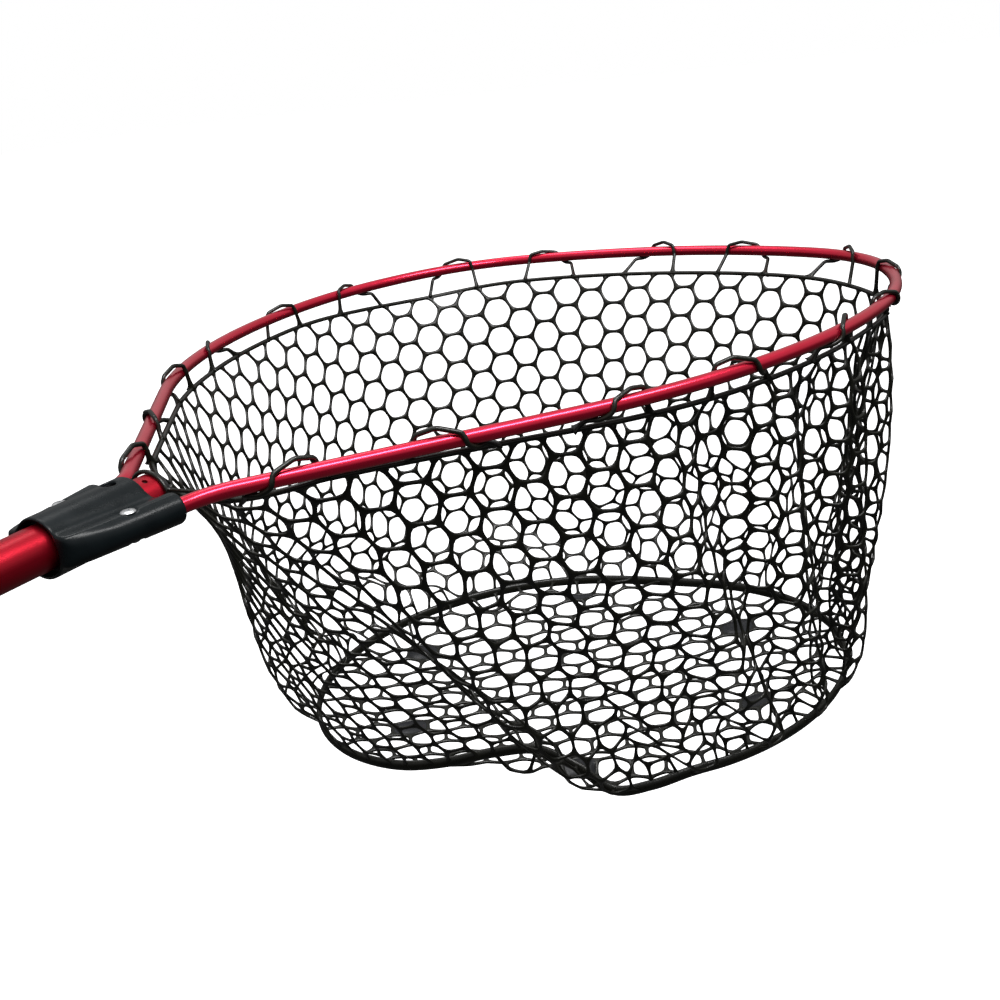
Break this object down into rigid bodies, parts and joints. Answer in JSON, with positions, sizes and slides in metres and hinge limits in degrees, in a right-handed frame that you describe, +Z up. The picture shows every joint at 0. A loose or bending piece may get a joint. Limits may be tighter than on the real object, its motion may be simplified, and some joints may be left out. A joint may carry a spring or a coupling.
{
  "type": "landing net",
  "caption": "Landing net: a fluted handle slides through a moulded yoke that carries a teardrop tube hoop and a deep rubber-coated mesh bag.",
  "frame": {"origin": "centre of the grip, on the handle's axis", "axes": "+X along the handle to the hoop's tip, +Z up out of the bag's mouth, hoop tube centres in z = 0"},
  "size_m": [1.6345, 0.5621, 0.365],
  "materials": {
    "red_anodised": "satin, anodised",
    "yoke_plastic": "satin",
    "trim_plastic": "matte",
    "liner_plastic": "matte",
    "foam": "matte, fine cells",
    "mesh_rubber": "satin",
    "rivet_alu": "polished",
    "steel": "satin"
  },
  "bodies": {
    "handle": {"handle_tube": "red_anodised", "nose_plug": "trim_plastic", "button_carrier": "trim_plastic", "lock_spring": "steel", "grip": "foam", "grip_collar": "trim_plastic", "butt_cap": "trim_plastic"},
    "button": {"lock_button": "steel"},
    "head": {"yoke_body": "yoke_plastic", "yoke_bush": "liner_plastic", "hoop": "red_anodised", "leg_rivets": "rivet_alu", "rivet_mandrels": "steel", "rim_cord": "mesh_rubber", "rim_loops": "mesh_rubber", "neck_loop": "mesh_rubber", "net_wall": "mesh_rubber", "net_floor": "mesh_rubber", "floor_seam": "mesh_rubber", "floor_tabs": "mesh_rubber"}
  },
  "joints": [
    {"name": "head_slide", "type": "slide", "parent": "handle", "child": "head", "axis": [1, 0, 0], "range_m": [-0.553, 0]},
    {"name": "button_press", "type": "slide", "parent": "handle", "child": "button", "axis": [0, 0, 1], "range_m": [0, 0.0065], "deforming": ["lock_spring"]}
  ]
}
